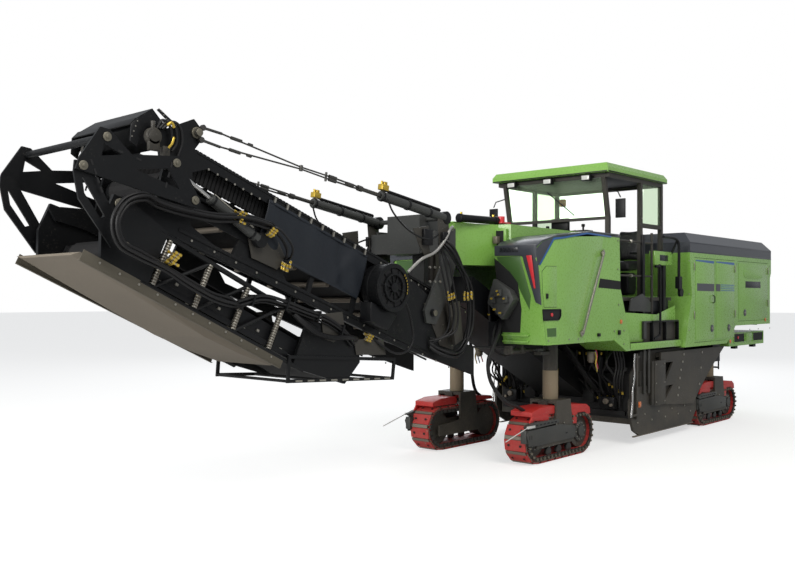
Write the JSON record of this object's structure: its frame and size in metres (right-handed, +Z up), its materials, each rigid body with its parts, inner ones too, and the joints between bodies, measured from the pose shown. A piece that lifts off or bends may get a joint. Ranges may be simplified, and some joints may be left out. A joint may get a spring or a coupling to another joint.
{
  "type": "cold planer milling machine",
  "caption": "Tracked machine that mills a road surface with a drum under its middle and loads the milled stuff over a slewing, folding conveyor at the front.",
  "frame": {"origin": "on the ground, at the middle of the length and width over everything", "axes": "+X forward, toward the discharge conveyor; +Y to the machine's left; +Z up"},
  "size_m": [13.13, 2.5, 3.9],
  "materials": {
    "paint_green": "light green gloss paint",
    "paint_grey": "dark grey satin paint",
    "steel_black": "black painted steel",
    "shoe_red": "red painted shoes, worn",
    "bare_steel": "bright rods and ropes",
    "cover_tan": "tan belt cover",
    "belt_rubber": "black ribbed belt",
    "screen_glass": "pale green screen glass",
    "seat_black": "black padded seats"
  },
  "bodies": {
    "machine": {"pod_left": "paint_green", "pod_right": "paint_green", "nose": "paint_green", "rear_body": "paint_green", "canopy_roof": "paint_green", "rear_box": "paint_green", "slew_post": "paint_grey", "platform": "paint_grey", "console": "paint_grey", "canopy_frame": "paint_grey", "drum_housing": "paint_grey", "main_frame": "steel_black", "engine": "steel_black", "scraper": "steel_black", "loading_conveyor": "steel_black", "windscreen": "screen_glass", "side_glass_left": "screen_glass", "side_glass_right": "screen_glass", "seats": "seat_black"},
    "leg_front_left": {"leg_front_left": "paint_grey", "track_front_left": "shoe_red"},
    "leg_front_right": {"leg_front_right": "paint_grey", "track_front_right": "shoe_red"},
    "leg_rear_left": {"leg_rear_left": "paint_grey", "track_rear_left": "shoe_red"},
    "leg_rear_right": {"leg_rear_right": "paint_grey", "track_rear_right": "shoe_red"},
    "tie_rod": {"tie_rod": "steel_black"},
    "drum": {"milling_drum": "steel_black"},
    "side_plate_left": {"side_plate_left": "paint_grey"},
    "side_plate_right": {"side_plate_right": "paint_grey"},
    "hood": {"hood": "paint_grey"},
    "tower": {"tower": "paint_grey"},
    "conveyor_main": {"conveyor_main": "steel_black", "belt_main": "belt_rubber", "head_cover": "paint_grey", "cylinder_bracket_left": "steel_black", "cylinder_bracket_right": "steel_black", "side_cloth_left": "steel_black", "side_cloth_right": "steel_black"},
    "conveyor_front": {"conveyor_front": "steel_black", "belt_front": "belt_rubber", "belt_cover": "cover_tan"},
    "fold_crank": {"fold_crank": "paint_grey"},
    "fold_couplers": {"fold_coupler_left": "paint_grey", "fold_coupler_right": "paint_grey"},
    "fold_barrels": {"fold_barrel_left": "paint_grey", "fold_barrel_right": "paint_grey"},
    "fold_rods": {"fold_rod_left": "bare_steel", "fold_rod_right": "bare_steel"},
    "lift_barrels": {"lift_barrel_left": "paint_grey", "lift_barrel_right": "paint_grey"},
    "lift_rods": {"lift_rod_left": "bare_steel", "lift_rod_right": "bare_steel"},
    "door_front_left": {"door_front_left": "paint_green"},
    "door_front_right": {"door_front_right": "paint_green"},
    "door_middle_left": {"door_middle_left": "paint_green"},
    "door_middle_right": {"door_middle_right": "paint_green"},
    "door_rear_left": {"door_rear_left": "paint_green"},
    "door_rear_right": {"door_rear_right": "paint_green"}
  },
  "joints": [
    {"name": "slew", "type": "hinge", "parent": "machine", "child": "tower", "pos_m": [1.685, 0, 2.72], "axis": [0, 0, 1], "range_deg": [-50, 50]},
    {"name": "lift", "type": "hinge", "parent": "tower", "child": "conveyor_main", "pos_m": [2.235, 0, 1.87], "axis": [0, -1, 0], "range_deg": [-14, 12]},
    {"name": "fold", "type": "hinge", "parent": "conveyor_main", "child": "conveyor_front", "pos_m": [6.135, 0, 2.78], "axis": [0, -1, 0], "range_deg": [0, 174.7]},
    {"name": "crank", "type": "hinge", "parent": "conveyor_main", "child": "fold_crank", "pos_m": [5.505, 0, 2.85], "axis": [0, -1, 0], "range_deg": [0, 44.06]},
    {"name": "coupler", "type": "hinge", "parent": "conveyor_front", "child": "fold_couplers", "pos_m": [6.205, 0, 2.5], "axis": [0, -1, 0], "range_deg": [-145.99, 0]},
    {"name": "fold_cylinder", "type": "hinge", "parent": "conveyor_main", "child": "fold_barrels", "pos_m": [4.735, 0, 2.56], "axis": [0, -1, 0], "range_deg": [0, 10.88]},
    {"name": "fold_stroke", "type": "slide", "parent": "fold_barrels", "child": "fold_rods", "axis": [0.8535, 0, 0.5211], "range_m": [-0.1702, 0]},
    {"name": "lift_cylinder", "type": "hinge", "parent": "tower", "child": "lift_barrels", "pos_m": [2.005, 0, 2.95], "axis": [0, -1, 0], "range_deg": [-13.7, 11.75]},
    {"name": "lift_stroke", "type": "slide", "parent": "lift_barrels", "child": "lift_rods", "axis": [0.9892, 0, 0.1468], "range_m": [-0.2282, 0.2661]},
    {"name": "steer_front_left", "type": "hinge", "parent": "machine", "child": "leg_front_left", "pos_m": [0.142, 0.757, 0.75], "axis": [0, 0, 1], "range_deg": [-25, 25]},
    {"name": "steer_front_right", "type": "hinge", "parent": "machine", "child": "leg_front_right", "pos_m": [0.142, -0.757, 0.75], "axis": [0, 0, 1], "range_deg": [-25.05, 25.05]},
    {"name": "tie_rod_turn", "type": "hinge", "parent": "leg_front_left", "child": "tie_rod", "pos_m": [0.392, 0.757, 1.383], "axis": [0, 0, 1], "range_deg": [-25.05, 25.05]},
    {"name": "steer_rear_left", "type": "hinge", "parent": "machine", "child": "leg_rear_left", "pos_m": [-4.385, 0.95, 0.75], "axis": [0, 0, 1], "range_deg": [-15, 15]},
    {"name": "steer_rear_right", "type": "hinge", "parent": "machine", "child": "leg_rear_right", "pos_m": [-4.385, -0.95, 0.75], "axis": [0, 0, 1], "range_deg": [-15.05, 15.05]},
    {"name": "drum_spin", "type": "hinge", "parent": "machine", "child": "drum", "pos_m": [-2.465, 0, 0.66], "axis": [0, 1, 0], "continuous": true},
    {"name": "side_plate_left_rise", "type": "slide", "parent": "machine", "child": "side_plate_left", "axis": [0, 0, 1], "range_m": [0, 0.35]},
    {"name": "side_plate_right_rise", "type": "slide", "parent": "machine", "child": "side_plate_right", "axis": [0, 0, 1], "range_m": [0, 0.35]},
    {"name": "hood_lift", "type": "hinge", "parent": "machine", "child": "hood", "pos_m": [-6.515, 0, 2.73], "axis": [0, -1, 0], "range_deg": [0, 40]},
    {"name": "door_front_left_swing", "type": "hinge", "parent": "machine", "child": "door_front_left", "pos_m": [-3.1665, 1.25, 1.3], "axis": [0, 0, -1], "range_deg": [0, 90]},
    {"name": "door_front_right_swing", "type": "hinge", "parent": "machine", "child": "door_front_right", "pos_m": [-3.1665, -1.25, 1.3], "axis": [0, 0, 1], "range_deg": [0, 90]},
    {"name": "door_middle_left_swing", "type": "hinge", "parent": "machine", "child": "door_middle_left", "pos_m": [-4.7945, 1.25, 1.3], "axis": [0, 0, 1], "range_deg": [0, 90]},
    {"name": "door_middle_right_swing", "type": "hinge", "parent": "machine", "child": "door_middle_right", "pos_m": [-4.7945, -1.25, 1.3], "axis": [0, 0, -1], "range_deg": [0, 90]},
    {"name": "door_rear_left_swing", "type": "hinge", "parent": "machine", "child": "door_rear_left", "pos_m": [-6.3559, 1.25, 1.3], "axis": [0, 0, 1], "range_deg": [0, 90]},
    {"name": "door_rear_right_swing", "type": "hinge", "parent": "machine", "child": "door_rear_right", "pos_m": [-6.3559, -1.25, 1.3], "axis": [0, 0, -1], "range_deg": [0, 90]}
  ],
  "couplings": [
    {"joint": "crank", "follows": "fold", "ratio": 0.2519},
    {"joint": "coupler", "follows": "fold", "ratio": -0.8354},
    {"joint": "fold_cylinder", "follows": "fold", "ratio": 0.062},
    {"joint": "fold_stroke", "follows": "fold", "m_per_rad": -0.0555},
    {"joint": "lift_cylinder", "follows": "lift", "ratio": 0.975},
    {"joint": "lift_stroke", "follows": "lift", "m_per_rad": -1.085},
    {"joint": "steer_front_right", "follows": "steer_front_left", "ratio": 1},
    {"joint": "tie_rod_turn", "follows": "steer_front_left", "ratio": -1},
    {"joint": "steer_rear_right", "follows": "steer_rear_left", "ratio": 1}
  ]
}
